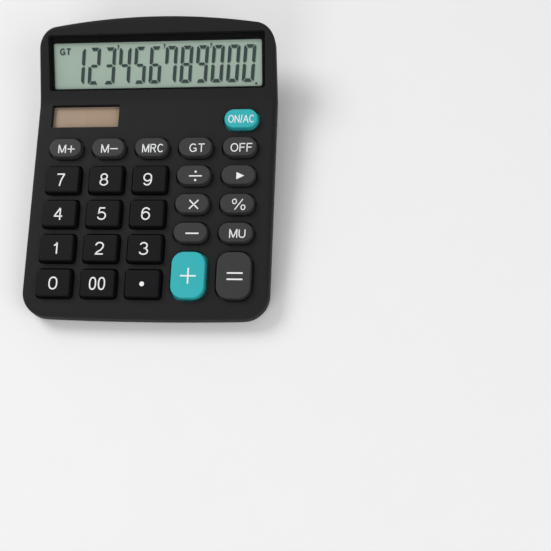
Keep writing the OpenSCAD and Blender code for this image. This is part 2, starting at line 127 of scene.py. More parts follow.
def material(name, color, rough, grain=0.35, bump=0.1, tint=0.08, rough_span=0.08,
             metallic=0.0, specular=0.5, coat=0.0, alpha=1.0, speck=0.0, transmission=0.0):
    """Principled surface with its own grain, slow colour drift and uneven gloss."""
    m = bpy.data.materials.new(name)
    m.use_nodes = True
    nt = m.node_tree
    nodes, link = nt.nodes, nt.links.new
    bsdf = nodes["Principled BSDF"]
    bsdf.inputs["Metallic"].default_value = metallic
    bsdf.inputs["Specular IOR Level"].default_value = specular
    bsdf.inputs["Coat Weight"].default_value = coat
    bsdf.inputs["Coat Roughness"].default_value = 0.12
    bsdf.inputs["Transmission Weight"].default_value = transmission
    bsdf.inputs["Alpha"].default_value = alpha
    coords = nodes.new("ShaderNodeTexCoord")

    def noise(size_mm, detail, roughness=0.5):
        n = nodes.new("ShaderNodeTexNoise")
        n.inputs["Scale"].default_value = 1000.0 / size_mm
        n.inputs["Detail"].default_value = detail
        n.inputs["Roughness"].default_value = roughness
        link(coords.outputs["Object"], n.inputs["Vector"])
        return n.outputs["Fac"]

    drift = noise(24.0, 3.0)
    fine = noise(grain, 2.0)
    mix = nodes.new("ShaderNodeMix")
    mix.data_type = "RGBA"
    lo = tuple(c * (1 - tint) for c in color[:3]) + (1.0,)
    hi = tuple(min(1.0, c * (1 + tint)) for c in color[:3]) + (1.0,)
    mix.inputs["A"].default_value = lo
    mix.inputs["B"].default_value = hi
    link(drift, mix.inputs["Factor"])
    tone = mix.outputs["Result"]
    if speck:
        second = nodes.new("ShaderNodeMix")
        second.data_type = "RGBA"
        ramp = nodes.new("ShaderNodeMapRange")
        ramp.inputs["From Min"].default_value = 0.35
        ramp.inputs["From Max"].default_value = 0.75
        ramp.inputs["To Max"].default_value = speck
        link(fine, ramp.inputs["Value"])
        link(ramp.outputs["Result"], second.inputs["Factor"])
        link(tone, second.inputs["A"])
        second.inputs["B"].default_value = tuple(min(1.0, c * 1.9 + 0.012) for c in color[:3]) + (1.0,)
        tone = second.outputs["Result"]
    link(tone, bsdf.inputs["Base Color"])
    gloss = nodes.new("ShaderNodeMapRange")
    gloss.inputs["From Min"].default_value = 0.3
    gloss.inputs["From Max"].default_value = 0.7
    gloss.inputs["To Min"].default_value = max(0.02, rough - rough_span / 2)
    gloss.inputs["To Max"].default_value = min(1.0, rough + rough_span / 2)
    link(noise(9.0, 4.0, 0.6), gloss.inputs["Value"])
    link(gloss.outputs["Result"], bsdf.inputs["Roughness"])
    if bump:
        b = nodes.new("ShaderNodeBump")
        b.inputs["Strength"].default_value = bump
        b.inputs["Distance"].default_value = grain * 0.00035
        link(fine, b.inputs["Height"])
        link(b.outputs["Normal"], bsdf.inputs["Normal"])
    return m


def stripes(name, base, line, pitch_mm, duty, rough, axis=0):
    """Panel crossed by narrow printed lines, for the solar cell."""
    m = material(name, base, rough, grain=1.4, bump=0.02, tint=0.16, coat=0.5)
    nt = m.node_tree
    nodes, link = nt.nodes, nt.links.new
    bsdf = nodes["Principled BSDF"]
    source = bsdf.inputs["Base Color"].links[0].from_socket
    coords = nodes.new("ShaderNodeTexCoord")
    split = nodes.new("ShaderNodeSeparateXYZ")
    link(coords.outputs["Object"], split.inputs[0])
    wave = nodes.new("ShaderNodeMath")
    wave.operation = "FRACT"
    scale = nodes.new("ShaderNodeMath")
    scale.operation = "MULTIPLY"
    scale.inputs[1].default_value = 1000.0 / pitch_mm
    link(split.outputs[axis], scale.inputs[0])
    link(scale.outputs[0], wave.inputs[0])
    step = nodes.new("ShaderNodeMath")
    step.operation = "LESS_THAN"
    step.inputs[1].default_value = duty
    link(wave.outputs[0], step.inputs[0])
    mix = nodes.new("ShaderNodeMix")
    mix.data_type = "RGBA"
    mix.inputs["B"].default_value = line
    link(step.outputs[0], mix.inputs["Factor"])
    link(source, mix.inputs["A"])
    link(mix.outputs["Result"], bsdf.inputs["Base Color"])
    return m


SHELL = material("moulded_black", srgb(29, 29, 30), 0.58, grain=0.32, bump=0.35, tint=0.06,
                 specular=0.13, speck=0.10)
BACK = material("moulded_black_back", srgb(31, 30, 38), 0.52, grain=0.3, bump=0.3, tint=0.07,
                specular=0.2, speck=0.10)
NUMBER_KEY = material("number_key_plastic", srgb(19, 19, 21), 0.46, grain=0.22, bump=0.14, tint=0.05,
                      specular=0.09, speck=0.05)
GREY_KEY = material("grey_key_plastic", srgb(55, 55, 56), 0.48, grain=0.22, bump=0.14, tint=0.05,
                    specular=0.16, speck=0.05)
TEAL_KEY = material("teal_key_plastic", srgb(50, 172, 177), 0.44, grain=0.22, bump=0.12, tint=0.05,
                    specular=0.2)
INK = material("legend_ink", srgb(232, 233, 234), 0.55, grain=0.12, bump=0.05, tint=0.03)
BORDER = material("window_print", srgb(5, 5, 6), 0.4, grain=0.5, bump=0.02, specular=0.08)
WINDOW = material("window_acrylic", srgb(12, 13, 13), 0.05, grain=6.0, bump=0.01, rough_span=0.03,
                  specular=0.5, alpha=0.07)
SOLAR_WINDOW = material("solar_acrylic", srgb(14, 12, 11), 0.07, grain=6.0, bump=0.01,
                        rough_span=0.03, specular=0.5, alpha=0.08)
LCD = material("lcd_panel", srgb(177, 197, 182), 0.38, grain=0.5, bump=0.02, tint=0.035, specular=0.35)
LCD_BACK = material("lcd_rear_plate", srgb(150, 166, 155), 0.3, grain=0.5, bump=0.02, tint=0.04)
SEGMENT = material("lcd_segment", srgb(64, 76, 76), 0.45, grain=0.4, bump=0.0, tint=0.10, specular=0.2)
# Painted shadow of the LCD segments: a tone a little darker than the glass, used on an offset copy of the
# digits
PAINTED_SEGMENT_SHADOW = material("lcd_segment_shadow", srgb(152, 172, 158), 0.5, grain=0.4, bump=0.0, tint=0.04, specular=0.2)
CELL = stripes("solar_cell_face", srgb(178, 150, 121), srgb(168, 139, 110), 8.85, 0.02, 0.3)
REFLECT = material("reflector_film", srgb(206, 208, 202), 0.3, grain=0.8, bump=0.05)
WHITE = material("retainer_plastic", srgb(214, 214, 206), 0.5, grain=0.3, bump=0.15)
FILM = material("flex_film", srgb(196, 138, 62), 0.3, grain=1.2, bump=0.05, tint=0.12)
BOARD = material("board_laminate", srgb(84, 122, 58), 0.45, grain=0.5, bump=0.12, tint=0.12, speck=0.08)
CARBON = material("carbon_pad", srgb(22, 22, 22), 0.6, grain=0.15, bump=0.2)
EPOXY = material("epoxy_drop", srgb(16, 16, 17), 0.28, grain=0.8, bump=0.08, coat=0.3)
COMPONENT = material("component_sleeve", srgb(36, 48, 92), 0.35, grain=0.3, bump=0.05)
DIODE = material("diode_glass", srgb(196, 92, 52), 0.2, grain=0.5, bump=0.03, coat=0.6)
WIRE = material("wire_jacket", srgb(176, 34, 32), 0.45, grain=0.3, bump=0.08)
STEEL = material("cell_steel", srgb(196, 198, 200), 0.27, grain=0.14, bump=0.18, metallic=1.0, tint=0.05)
CONTACT = material("contact_plating", srgb(208, 200, 180), 0.3, grain=0.2, bump=0.15, metallic=1.0)
SILICONE = material("silicone_mat", srgb(202, 204, 208), 0.6, grain=0.4, bump=0.1)
RUBBER = material("foot_rubber", srgb(22, 22, 23), 0.75, grain=0.18, bump=0.5, specular=0.25, speck=0.06)
RUBBER_LIGHT = material("foot_disc", srgb(52, 51, 58), 0.6, grain=0.2, bump=0.4, specular=0.3, speck=0.06)
SCREW_METAL = material("screw_steel", srgb(58, 58, 62), 0.45, grain=0.12, bump=0.2, metallic=1.0)
BRASS = material("insert_brass", srgb(200, 160, 84), 0.3, grain=0.12, bump=0.2, metallic=1.0)
LABEL = material("label_field", srgb(30, 29, 37), 0.6, grain=0.4, bump=0.2, tint=0.06, specular=0.14)
LABEL_INK = material("label_ink", srgb(11, 11, 14), 0.5, grain=0.2, bump=0.05, tint=0.05)


# ---------- Mesh building ----------
class Mesh:
    """Points in millimetres and faces, gathered before they become an object."""

    def __init__(self):
        self.v, self.f = [], []

    def loft(self, loops, ring=False, caps=(True, True)):
        n, m, base = len(loops[0]), len(loops), len(self.v)
        for loop in loops:
            self.v += [tuple(p) for p in loop]
        for k in range(m if ring else m - 1):
            a, b = base + k * n, base + ((k + 1) % m) * n
            for i in range(n):
                j = (i + 1) % n
                self.f.append((a + i, a + j, b + j, b + i))
        if not ring:
            if caps[0]:
                self.f.append(tuple(base + i for i in reversed(range(n))))
            if caps[1]:
                self.f.append(tuple(base + (m - 1) * n + i for i in range(n)))
        return self

    def prism(self, outline, place, low, high):
        return self.loft([[place(x, y, low) for x, y in outline],
                          [place(x, y, high) for x, y in outline]])

    def add(self, other):
        base = len(self.v)
        self.v += other.v
        self.f += [tuple(i + base for i in face) for face in other.f]
        return self


def object_from(name, mesh, mats, sharp=32.0, weighted=False):
    me = bpy.data.meshes.new(name)
    me.from_pydata([(x * 0.001, y * 0.001, z * 0.001) for x, y, z in mesh.v], [], mesh.f)
    ob = bpy.data.objects.new(name, me)
    bpy.context.scene.collection.objects.link(ob)
    for m in (mats if isinstance(mats, (list, tuple)) else [mats]):
        me.materials.append(m)
    tidy(ob, sharp)
    if weighted:
        mod = ob.modifiers.new("flat_faces", "WEIGHTED_NORMAL")
        mod.keep_sharp = True
        mod.weight = 100
    return ob


def tidy(ob, sharp=32.0):
    """Merges doubled points, turns faces outwards and marks the sharp edges."""
    bm = bmesh.new()
    bm.from_mesh(ob.data)
    bmesh.ops.remove_doubles(bm, verts=bm.verts, dist=2e-6)
    bmesh.ops.dissolve_degenerate(bm, dist=1e-6, edges=bm.edges)
    bmesh.ops.recalc_face_normals(bm, faces=bm.faces)
    limit = math.radians(sharp)
    for f in bm.faces:
        f.smooth = True
    for e in bm.edges:
        e.smooth = len(e.link_faces) == 2 and e.calc_face_angle(0.0) < limit
    bm.to_mesh(ob.data)
    bm.free()


def cut(target, cutter, operation="DIFFERENCE"):
    mod = target.modifiers.new("cut", "BOOLEAN")
    mod.operation = operation
    mod.solver = "EXACT"
    mod.object = cutter
    graph = bpy.context.evaluated_depsgraph_get()
    me = bpy.data.meshes.new_from_object(target.evaluated_get(graph))
    target.modifiers.remove(mod)
    old = target.data
    me.name = old.name
    target.data = me
    bpy.data.meshes.remove(old)
    bpy.data.objects.remove(cutter, do_unlink=True)


def rrect(cx, cy, w, h, r, steps=7):
    """Rounded rectangle, from its right side anticlockwise."""
    r = min(r, w / 2 - 1e-3, h / 2 - 1e-3)
    pts = []
    for k, (sx, sy) in enumerate([(1, 1), (-1, 1), (-1, -1), (1, -1)]):
        ox, oy = cx + sx * (w / 2 - r), cy + sy * (h / 2 - r)
        for i in range(steps + 1):
            a = math.radians(90 * k + 90 * i / steps)
            pts.append((ox + r * math.cos(a), oy + r * math.sin(a)))
    return pts


def circle(cx, cy, r, steps=48):
    return [(cx + r * math.cos(2 * math.pi * i / steps), cy + r * math.sin(2 * math.pi * i / steps))
            for i in range(steps)]


def lofted(place, shapes):
    """Loops of outline shapes at their levels, on a surface frame."""
    return [[place(x, y, w) for x, y in outline] for outline, w in shapes]


def ride(ob, body, slot, *nodes):
    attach(ob, body)
    if nodes:
        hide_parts(*nodes)
    return ob


# ---------- Plan outline and top surface ----------
def half_outline(inset, extra_y=()):
    """Right half of the plan outline, from the front apex to the rear apex."""
    def end(corner_r, bow, corner_steps, bow_steps):
        half = BODY_W / 2
        big = (half * half + bow * bow) / (2 * bow)
        by = BODY_D / 2 - big
        cx = half - corner_r
        cy = by + math.sqrt((big - corner_r) ** 2 - cx * cx)
        turn = math.atan2(cy - by, cx)
        pts = []
        for i in range(corner_steps + 1):
            a = turn * i / corner_steps
            pts.append((cx + (corner_r - inset) * math.cos(a), cy + (corner_r - inset) * math.sin(a)))
        for i in range(1, bow_steps + 1):
            a = turn + (math.pi / 2 - turn) * i / bow_steps
            pts.append(((big - inset) * math.cos(a), by + (big - inset) * math.sin(a)))
        return pts
    front = [(x, -y) for x, y in end(12.5, 1.2, 12, 14)][::-1]
    rear = end(10.0, 4.8, 12, 18)
    front[0] = (0.0, front[0][1])
    rear[-1] = (0.0, rear[-1][1])
    side = [(BODY_W / 2 - inset, y) for y in sorted(set(extra_y) | {CREASE_Y})]

    def tapered(x, y):
        return (x * (1 - 2 * HOOD_TAPER / BODY_W * max(0.0, y - CREASE_Y) / (REAR_Y - CREASE_Y)), y)
    return [tapered(x, y) for x, y in front + side + rear]


def full_loop(inset, extra_y=()):
    right = half_outline(inset, extra_y)
    return right + [(-x, y) for x, y in right[-2:0:-1]]


BLEND = 3.2
CREASE_STEPS = [CREASE_Y + BLEND * t for t in (-1.0, -0.75, -0.5, -0.25, 0.0, 0.25, 0.5, 0.75, 1.0)]
SIDE_STEPS = [-50.0, -30.0, -10.0, 10.0, 25.0] + CREASE_STEPS + [46.0, 54.0]


def top_z(y):
    """Height of the casing's top surface, with a soft turn at the crease."""
    low = FRONT_H + (y - FRONT_Y) * math.tan(KEYPAD_TILT)
    d = y - CREASE_Y
    rise = math.tan(DISPLAY_TILT) - math.tan(KEYPAD_TILT)
    if d <= -BLEND:
        return low
    if d >= BLEND:
        return low + d * rise
    return low + rise * (d + BLEND) ** 2 / (4 * BLEND)


# ---------- Front cover ----------
def shell_loop(inset, drop):
    return [(x, y, top_z(y) - drop) for x, y in full_loop(inset, SIDE_STEPS)]


def cap(mesh, base, count, up):
    """Closes a symmetric loop with strips from its right side to its left."""
    n = count // 2
    for i in range(n):
        a, b = base + i, base + i + 1
        c, d = base + (count - i - 1) % count, base + (count - i) % count
        face = [a, b]
        if c != b:
            face.append(c)
        if d not in (a, c):
            face.append(d)
        if len(face) > 2:
            mesh.f.append(tuple(face if up else face[::-1]))


def front_solid():
    r = 2.3
    loops = []
    for k in range(7):
        a = math.radians(90 - 15 * k)
        loops.append(shell_loop(r * (1 - math.cos(a)), r * (1 - math.sin(a))))
    loops += [shell_loop(0.0, SIDE_H - 0.35), shell_loop(0.1, SIDE_H - 0.1), shell_loop(0.35, SIDE_H),
              shell_loop(WALL, SIDE_H), shell_loop(WALL, WALL)]
    mesh = Mesh().loft(loops, caps=(False, False))
    n = len(loops[0])
    cap(mesh, 0, n, True)
    cap(mesh, n * (len(loops) - 1), n, False)
    return mesh


LIP = [(-6.0, 0.0), (-0.34, 0.0), (-0.2, 0.02), (-0.1, 0.07), (-0.03, 0.15), (0.02, 0.22), (0.6, 0.9)]


def key_radius(size):
    return 1.5 if size == NUMBER else 6.0 if size == TALL else size[1] / 2


def key_outline(k, grow, steps=9):
    w, h = k[3]
    return rrect(key_x(k[1]), k[2], w + 2 * grow, h + 2 * grow, key_radius(k[3]) + grow, steps)


def front_cutters():
    mesh = Mesh()
    for k in KEYS:
        mesh.loft(lofted(on_keypad, [(key_outline(k, KEY_GAP + g), w) for w, g in LIP]))
    mesh.loft(lofted(on_keypad, [(rrect(*SOLAR_AT, SOLAR[0] + 2 * g, SOLAR[1] + 2 * g, 0.6 + g), w)
                                 for w, g in LIP]))
    mid = RECESS_START + RECESS[1] / 2
    mesh.loft(lofted(on_hood, [(rrect(0, mid, RECESS[0] + 2 * g, RECESS[1] + 2 * g, 1.4 + g), w)
                               for w, g in LIP]))
    return mesh


def display_frame():
    """Tray under the hood: recess wall, ledge and pocket, as one closed ring."""
    mid, vmid = RECESS_START + RECESS[1] / 2, VIEW_START + VIEW[1] / 2
    outer = (RECESS[0] + 2.8, RECESS[1] + 2.8)
    pocket = (107.8, 27.1)
    pmid = VIEW_START - 2.5 + pocket[1] / 2
    recess = (RECESS[0] + 0.02, RECESS[1] + 0.02)
    shapes = [
        (rrect(0, mid, *outer, 1.0), -1.5), (rrect(0, mid, *recess, 1.4), -1.5),
        (rrect(0, mid, *recess, 1.4), -RECESS_DEPTH + 0.15),
        (rrect(0, mid, recess[0] - 0.3, recess[1] - 0.3, 1.3), -RECESS_DEPTH),
        (rrect(0, vmid, VIEW[0] + 0.4, VIEW[1] + 0.4, 1.2), -RECESS_DEPTH),
        (rrect(0, vmid, *VIEW, 1.0), -RECESS_DEPTH - 0.2),
        (rrect(0, vmid, *VIEW, 1.0), -RECESS_DEPTH - 1.0),
        (rrect(0, pmid, *pocket, 0.6), -RECESS_DEPTH - 1.0),
        (rrect(0, pmid, *pocket, 0.6), -5.9), (rrect(0, mid, *outer, 1.0), -5.9),
    ]
    return Mesh().loft(lofted(on_hood, shapes), ring=True)


def board_posts():
    mesh = Mesh()
    for column in (-1.5, -0.5, 0.5, 1.5):
        for v in (24.2, 75.6):
            x = column * PITCH
            mesh.loft(lofted(on_keypad, [
                (circle(x, v, 0.9, 20), -1.6), (circle(x, v, 0.9, 20), -6.8),
                (circle(x, v, 1.6, 20), -6.82), (circle(x, v, 1.5, 20), -7.2),
                (circle(x, v, 1.0, 20), -7.45)]))
    return mesh


front_cover = object_from("front_cover_shell", front_solid(), SHELL)
cut(front_cover, object_from("front_cutter", front_cutters(), SHELL))
inner = object_from("front_inner", display_frame().add(board_posts()), SHELL)
bm = bmesh.new()
bm.from_mesh(front_cover.data)
bm.from_mesh(inner.data)
bm.to_mesh(front_cover.data)
bm.free()
bpy.data.objects.remove(inner, do_unlink=True)
tidy(front_cover, 28.0)
weigh = front_cover.modifiers.new("flat_faces", "WEIGHTED_NORMAL")
weigh.keep_sharp = True
ride(front_cover, "casing", "front_shell", "front_cover")


# ---------- Rear cover ----------
def rounded_path(pts, radii, steps=5):
    """Polyline with its inner corners turned into short arcs."""
    out = [pts[0]]
    for i in range(1, len(pts) - 1):
        p, a, b = Vector(pts[i]), Vector(pts[i - 1]), Vector(pts[i + 1])
        r = radii[i - 1]
        if not r:
            out.append(tuple(p))
            continue
        da, db = (a - p), (b - p)
        reach = min(r, da.length * 0.45, db.length * 0.45)
        s, e = p + da.normalized() * reach, p + db.normalized() * reach
        for k in range(steps + 1):
            t = k / steps
            out.append(tuple(s * (1 - t) ** 2 + p * 2 * t * (1 - t) + e * t * t))
    out.append(pts[-1])
    return out


def cove_points(steps=14):
    a, b = Vector((45.6, 4.6)), Vector((REAR_Y, REAR_Z - 8.4))
    chord = b - a
    half, sag = chord.length / 2, 2.0
    r = (half * half + sag * sag) / (2 * sag)
    out = Vector((chord.y, -chord.x)).normalized()
    centre = a + chord / 2 + out * (r - sag)
    spread = math.asin(half / r)
    middle = math.atan2(-out.y, -out.x)
    return [(centre.x + r * math.cos(middle - spread * i / steps),
             centre.y + r * math.sin(middle - spread * i / steps)) for i in range(-steps, steps + 1)]


REAR_FRONT = FRONT_Y + 1.0
_cove = cove_points()
PROFILE = rounded_path(
    [(REAR_FRONT, FRONT_H - SIDE_H), (REAR_FRONT + 2.4, BASE_Z), (BASE_REAR_Y, BASE_Z)] + _cove,
    [0.9, 0.6, 0.5] + [0] * (len(_cove) - 2))


def bottom_z(y):
    for (ya, za), (yb, zb) in zip(PROFILE, PROFILE[1:]):
        if y <= yb:
            t = 0.0 if yb == ya else max(0.0, (y - ya) / (yb - ya))
            return za + (zb - za) * t
    return PROFILE[-1][1]


REAR_HALF = half_outline(REAR_INSET, [])


def half_width(y):
    """Widest half-width at y; the flat front edge counts at its full width."""
    spans = [max(xa, xb) if yb == ya else xa + (xb - xa) * (y - ya) / (yb - ya)
             for (xa, ya), (xb, yb) in zip(REAR_HALF, REAR_HALF[1:]) if ya <= y <= yb]
    return max(spans, default=0.0)


def rear_section(y, inset):
    """Right half of the cover's cross-section at y, from its rim to the centre line."""
    span = 1.0 - inset / 72.5
    y_in = y * span
    w = max(0.0, half_width(y) - inset)
    z_top = top_z(y_in) - SIDE_H - 0.1
    cove = 1.0 if y_in > BASE_REAR_Y - 1.5 else 0.0
    z_low = min(bottom_z(y_in) + inset * (1.0 + 0.75 * cove), z_top - 0.25)
    flat_top = FRONT_H + (y_in - FRONT_Y) * math.tan(KEYPAD_TILT) - SIDE_H
    hood_top = CREASE_Z + (y_in - CREASE_Y) * math.tan(DISPLAY_TILT) - SIDE_H
    edge = BODY_W / 2 - REAR_INSET
    ta, tb = math.tan(math.radians(45)), math.tan(math.radians(22)) * 0.95

    def x_at(z):
        lower, upper = edge - inset * 1.4 - (flat_top - z) * ta, edge - inset * 1.1 - (hood_top - z) * tb
        return max(0.0, min(w, lower, upper))
    cross = (flat_top * ta - hood_top * tb + inset * 0.3) / (ta - tb)
    meet = flat_top - (edge - inset * 1.4 - w) / ta
    meet_b = hood_top - (edge - inset * 1.1 - w) / tb
    breaks = sorted((min(max(z, z_low), z_top) for z in (cross, meet, meet_b)), reverse=True)
    levels = [z_top] + breaks + [z_low]
    pts = []
    for a, b in zip(levels, levels[1:]):
        pts += [(x_at(a + (b - a) * t), a + (b - a) * t) for t in (0.0, 0.5)]
    corner = (x_at(z_low), z_low)
    soft = 0.0 if inset else min(0.9, (z_top - z_low) * 0.3, corner[0] * 0.3)
    above = (x_at(z_low + soft), z_low + soft)
    beside = (max(0.0, corner[0] - soft), z_low)
    kept = [p for p in pts if p[1] > z_low + soft + 1e-6]
    pts = kept + [above] * (len(pts) - len(kept))
    for k in range(5):
        t = k / 4
        pts.append(tuple((1 - t) ** 2 * a + 2 * t * (1 - t) * c + t * t * b
                         for a, c, b in zip(above, corner, beside)))
    pts += [(beside[0] * t, z_low) for t in (0.75, 0.5, 0.25, 0.0)]
    return [(x, y_in, z) for x, z in pts]


def rear_solid():
    ys = sorted({round(y, 4) for x, y in REAR_HALF} | {round(y, 4) for y, z in PROFILE if abs(y) < 72.5}
                | set(CREASE_STEPS) | {-50.0, -25.0, 0.0, 20.0})
    ys = [y for i, y in enumerate(ys) if i in (0, len(ys) - 1) or y - ys[i - 1] > 0.03]
    mesh = Mesh()
    grids = []
    for inset in (0.0, WALL):
        rows = [rear_section(y, inset) for y in ys]
        n = len(rows[0])
        base = len(mesh.v)
        width = 2 * n - 1
        for row in rows:
            mesh.v += row + [(-x, y, z) for x, y, z in row[-2::-1]]
        for i in range(len(rows) - 1):
            for j in range(width - 1):
                a = base + i * width + j
                mesh.f.append((a, a + 1, a + width + 1, a + width))
        grids.append((base, width, len(rows)))
    (b0, w0, m), (b1, w1, m) = grids
    for i in range(m - 1):
        for end in (0, w0 - 1):
            a, b = b0 + i * w0 + end, b0 + (i + 1) * w0 + end
            c, d = b1 + (i + 1) * w1 + end, b1 + i * w1 + end
            mesh.f.append((a, b, c, d))
    return mesh


def mouth(outline_at, depth, flare=0.3, place=flat, level=BASE_Z):
    """Cutter from under the base up to a depth, with a softened mouth."""
    steps = [(-1.0, flare * 2.4), (0.0, flare), (flare * 0.35, flare * 0.45), (flare, 0.1 * flare),
             (flare * 1.5, 0.0), (depth, 0.0)]
    return [[place(x, y, level + h) for x, y in outline_at(g)] for h, g in steps]


def rear_cutters():
    mesh = Mesh()
    gap = 0.15
    mesh.loft(mouth(lambda g: rrect(*DOOR_C, DOOR[0] + 2 * (gap + g), DOOR[1] + 2 * (gap + g), 0.5 + g),
                    1.9, 0.16))
    for x, y in FEET:
        mesh.loft(mouth(lambda g, x=x, y=y: circle(x, y, 4.72 + g), 1.0, 0.25))
    for side in (-1, 1):
        for x, y, w, h, low, high in [(33.4, -68.4, 4.2, 1.3, -5.0, 2.0), (55.5, 26.0, 1.4, 3.0, 5.5, 11.2)]:
            mesh.loft([[(px, py, z) for px, py in rrect(side * x, y, w, h, 0.3)] for z in (low, high)])
    for x in (-36.5, 36.5):
        top = bottom_z(71.3)
        mesh.loft([[(px, py, z) for px, py in rrect(x, 69.4, 4.6, 1.4, 0.3)] for z in (top - 8, top + 1.3)])
    return mesh


def latch_cutter():
    """Latch slot at the rear edge of the battery door."""
    rear = DOOR_C[1] + DOOR[1] / 2
    mesh = Mesh()
    mesh.loft(mouth(lambda g: rrect(DOOR_C[0], rear + 0.3, 10.6 + 2 * g, 2.8 + 2 * g, 0.3 + g), 4.4, 0.16))
    return mesh


def scoop_cutter():
    """Thumb scoop: a dish whose floor climbs away from the slot."""
    rear = DOOR_C[1] + DOOR[1] / 2 + 1.7
    loops = []
    for depth, r in [(-1.0, 4.25), (0.0, 4.05), (0.15, 3.9), (0.5, 3.7), (0.8, 3.4), (1.0, 2.9)]:
        loops.append([(DOOR_C[0] + r * math.cos(a), max(rear - 0.3, rear + r * math.sin(a)), BASE_Z + depth)
                      for a in [2 * math.pi * i / 48 for i in range(48)]])
    return Mesh().loft(loops)


def screw_cutter():
    return Mesh().loft([[(x, y, z) for x, y in circle(*SCREW, r)] for z, r in
                        [(-0.5, 4.9), (0.8, 4.72), (1.0, 4.6), (1.5, 4.55)]])


rear_cover = object_from("rear_cover_shell", rear_solid(), BACK)
for maker in (rear_cutters, latch_cutter, scoop_cutter, screw_cutter):
    cut(rear_cover, object_from("rear_cutter", maker(), BACK))


def bay_walls():
    """Box over the battery door that holds the cell."""
    x, y = DOOR_C
    mid = y + 0.5
    outer, inside = (19.1, 25.1), (14.7, 17.1)
    shapes = [(rrect(x, mid, *outer, 0.8), 2.4), (rrect(x, mid, *outer, 0.8), 8.2),
              (rrect(x, mid, 0.3, 0.3, 0.1), 8.2), (rrect(x, y, 0.3, 0.3, 0.1), 7.2),
              (rrect(x, y, *inside, 0.6), 7.2), (rrect(x, y, *inside, 0.6), 2.75),
              (rrect(x, y, DOOR[0] + 0.3, DOOR[1] + 0.3, 0.5), 2.75),
              (rrect(x, y, DOOR[0] + 0.3, DOOR[1] + 0.3, 0.5), 2.4)]
    return Mesh().loft(lofted(flat, shapes), ring=True)


def screw_boss():
    shapes = [(circle(*SCREW, 4.4), 1.55), (circle(*SCREW, 4.4), 3.2), (circle(*SCREW, 1.15), 3.2),
              (circle(*SCREW, 1.15), 1.55), (circle(*SCREW, 2.9), 1.55), (circle(*SCREW, 2.9), 1.0),
              (circle(*SCREW, 3.3), 0.9), (circle(*SCREW, 4.0), 0.9), (circle(*SCREW, 4.2), 1.1)]
    return Mesh().loft(lofted(flat, shapes), ring=True)


extra = object_from("rear_extra", bay_walls().add(screw_boss()), BACK)
bm = bmesh.new()
bm.from_mesh(rear_cover.data)
bm.from_mesh(extra.data)
bm.to_mesh(rear_cover.data)
bm.free()
bpy.data.objects.remove(extra, do_unlink=True)
tidy(rear_cover, 24.0)
weigh = rear_cover.modifiers.new("flat_faces", "WEIGHTED_NORMAL")
weigh.keep_sharp = True
ride(rear_cover, "casing", "rear_shell", "rear_cover")


# ---------- Battery door, feet, screw and label ----------
def door_mesh():
    x, y = DOOR_C
    z0 = BASE_Z + 0.05
    hy, hz = HINGE
    w, h = DOOR
    mesh = Mesh()
    cy = y + 0.4
    plate = [(w - 0.5, h - 1.3, 0.35, 0.0), (w - 0.16, h - 0.96, 0.5, 0.08), (w, h - 0.8, 0.6, 0.25),
             (w, h - 0.8, 0.6, 1.5), (w - 0.2, h - 1.0, 0.5, 1.6)]
    mesh.loft([[(px, py, z0 + dz) for px, py in rrect(x, cy, a, b, r, 4)] for a, b, r, dz in plate])
    ring = [2 * math.pi * i / 32 for i in range(32)]

    def bar(x0, x1, r, soft):
        spans = [(x0, r - soft), (x0 + soft, r), (x1 - soft, r), (x1, r - soft)]
        mesh.loft([[(px, hy + q * math.cos(a), hz + q * math.sin(a)) for a in ring] for px, q in spans])
    bar(x - w / 2 + 0.45, x + w / 2 - 0.45, 0.79, 0.12)
    bar(x - w / 2 - 0.7, x + w / 2 + 0.7, 0.55, 0.1)
    rear = y + h / 2
    for y0, y1, zl, zh in [(rear - 0.9, rear - 0.1, z0 + 1.0, z0 + 4.0),
                           (rear - 0.3, rear + 0.7, z0 + 0.2, z0 + 1.1)]:
        mid, deep = (y0 + y1) / 2, y1 - y0
        mesh.loft([[(px, py, z) for px, py in rrect(x, mid, 8.0 - s, deep - s * 0.5, 0.15, 3)]
                   for z, s in [(zl, 0.1), (zl + 0.1, 0.0), (zh - 0.1, 0.0), (zh, 0.1)]])
    for k in range(3):
        gy = rear - 3.0 - 1.1 * k
        mesh.loft([[(px, py, z) for px, py in rrect(x, gy, 7.0 - s, 0.5 - s * 0.4, 0.2, 4)]
                   for z, s in [(z0 + 0.1, 0.0), (z0 - 0.02, 0.02), (z0 - 0.05, 0.2)]])
    return mesh


door = ride(object_from("battery_door_plate", door_mesh(), BACK, weighted=True),
            "door", "rear_shell", "battery_door")


def foot_mesh(x, y):
    shapes = [(circle(x, y, 4.35), 1.75), (circle(x, y, 4.4), 0.35), (circle(x, y, 4.28), 0.1),
              (circle(x, y, 4.0), 0.0), (circle(x, y, 3.75), 0.05), (circle(x, y, 3.6), 0.45),
              (circle(x, y, 3.45), 0.5), (circle(x, y, 3.3), 0.2), (circle(x, y, 3.1), 0.08),
              (circle(x, y, 1.5), 0.05)]
    return Mesh().loft(lofted(flat, shapes))


feet = Mesh()
for fx, fy in FEET:
    feet.add(foot_mesh(fx, fy))
feet_piece = ride(object_from("feet_pads", feet, [RUBBER, RUBBER_LIGHT]),
                  "casing", "foot_rubber", "rubber_feet")
for poly in feet_piece.data.polygons:
    c = poly.center * 1000
    near = min(math.hypot(c.x - fx, c.y - fy) for fx, fy in FEET)
    if near < 3.35 and poly.normal.z < -0.3:
        poly.material_index = 1


def cross_loop(arm, slot_w, z, n=48):
    """Cross-shaped loop with as many points as the screw head's circles."""
    pts = []
    for i in range(n):
        a = 2 * math.pi * i / n
        c, s = math.cos(a), math.sin(a)
        big, small = max(abs(c), abs(s)), min(abs(c), abs(s))
        r = min(arm / big, slot_w / small if small > 1e-6 else arm / big)
        pts.append((SCREW[0] + r * c, SCREW[1] + r * s, z))
    return pts


